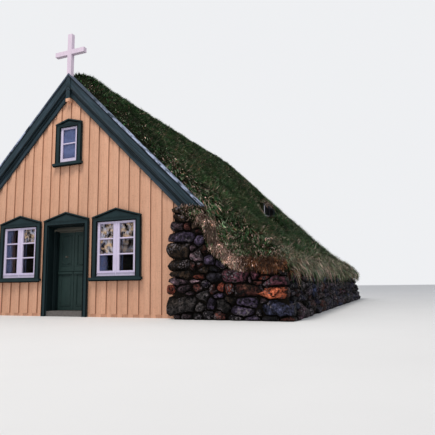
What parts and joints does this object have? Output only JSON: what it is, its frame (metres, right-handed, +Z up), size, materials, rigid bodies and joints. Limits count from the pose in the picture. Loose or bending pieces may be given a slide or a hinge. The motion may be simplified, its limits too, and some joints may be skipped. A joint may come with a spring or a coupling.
{
  "type": "turf-roofed timber church",
  "caption": "Small boarded timber house of the church kind under a turf roof between thick dry-stone walls, with a pair of inward-opening door leaves.",
  "frame": {"origin": "on the ground under the middle of the house's bounding box", "axes": "+X to the right seen from the front, -Y out of the front with the door, +Z up"},
  "size_m": [9.4482, 9.98, 5.8997],
  "materials": {
    "dry_stone": "rough",
    "turf": "matte",
    "board_paint": "satin",
    "trim_paint": "satin",
    "sash_paint": "satin",
    "cross_paint": "satin",
    "bare_pine": "matte",
    "window_glass": "polished",
    "sill_stone": "rough",
    "hinge_iron": "matte",
    "knob_metal": "polished"
  },
  "bodies": {
    "house": {"stone_wall_left": "dry_stone", "stone_wall_right": "dry_stone", "turf_left": "turf", "turf_right": "turf", "roof_boards_left": "bare_pine", "roof_boards_right": "bare_pine", "rafters": "bare_pine", "ridge_beam": "bare_pine", "front_wall_left": "board_paint", "front_wall_right": "board_paint", "front_gable": "board_paint", "front_boards": "board_paint", "back_wall_left": "board_paint", "back_wall_right": "board_paint", "back_gable": "board_paint", "back_boards": "board_paint", "side_wall_left": "bare_pine", "side_wall_right": "bare_pine", "floor": "bare_pine", "front_barge_left": "trim_paint", "front_barge_right": "trim_paint", "front_frieze": "trim_paint", "front_capping": "trim_paint", "king_piece": "trim_paint", "king_block": "board_paint", "back_barge": "trim_paint", "back_frieze": "trim_paint", "back_capping": "trim_paint", "cross": "cross_paint", "door_casing": "trim_paint", "door_frame": "trim_paint", "threshold": "sill_stone", "door_hinges": "hinge_iron", "window_casings": "trim_paint", "window_sashes": "sash_paint", "window_glass": "window_glass", "back_window_casings": "trim_paint", "back_window_sashes": "sash_paint", "back_window_glass": "window_glass", "roof_window_box": "trim_paint", "roof_window_sash": "sash_paint", "roof_window_glass": "window_glass"},
    "left_leaf": {"door_leaf_left": "trim_paint", "door_knob": "knob_metal"},
    "right_leaf": {"door_leaf_right": "trim_paint"}
  },
  "joints": [
    {"name": "left_leaf_hinge", "type": "hinge", "parent": "house", "child": "left_leaf", "pos_m": [-0.449, -4.393, 1], "axis": [0, 0, 1], "range_deg": [0, 100]},
    {"name": "right_leaf_hinge", "type": "hinge", "parent": "house", "child": "right_leaf", "pos_m": [0.449, -4.393, 1], "axis": [0, 0, -1], "range_deg": [0, 100]}
  ]
}
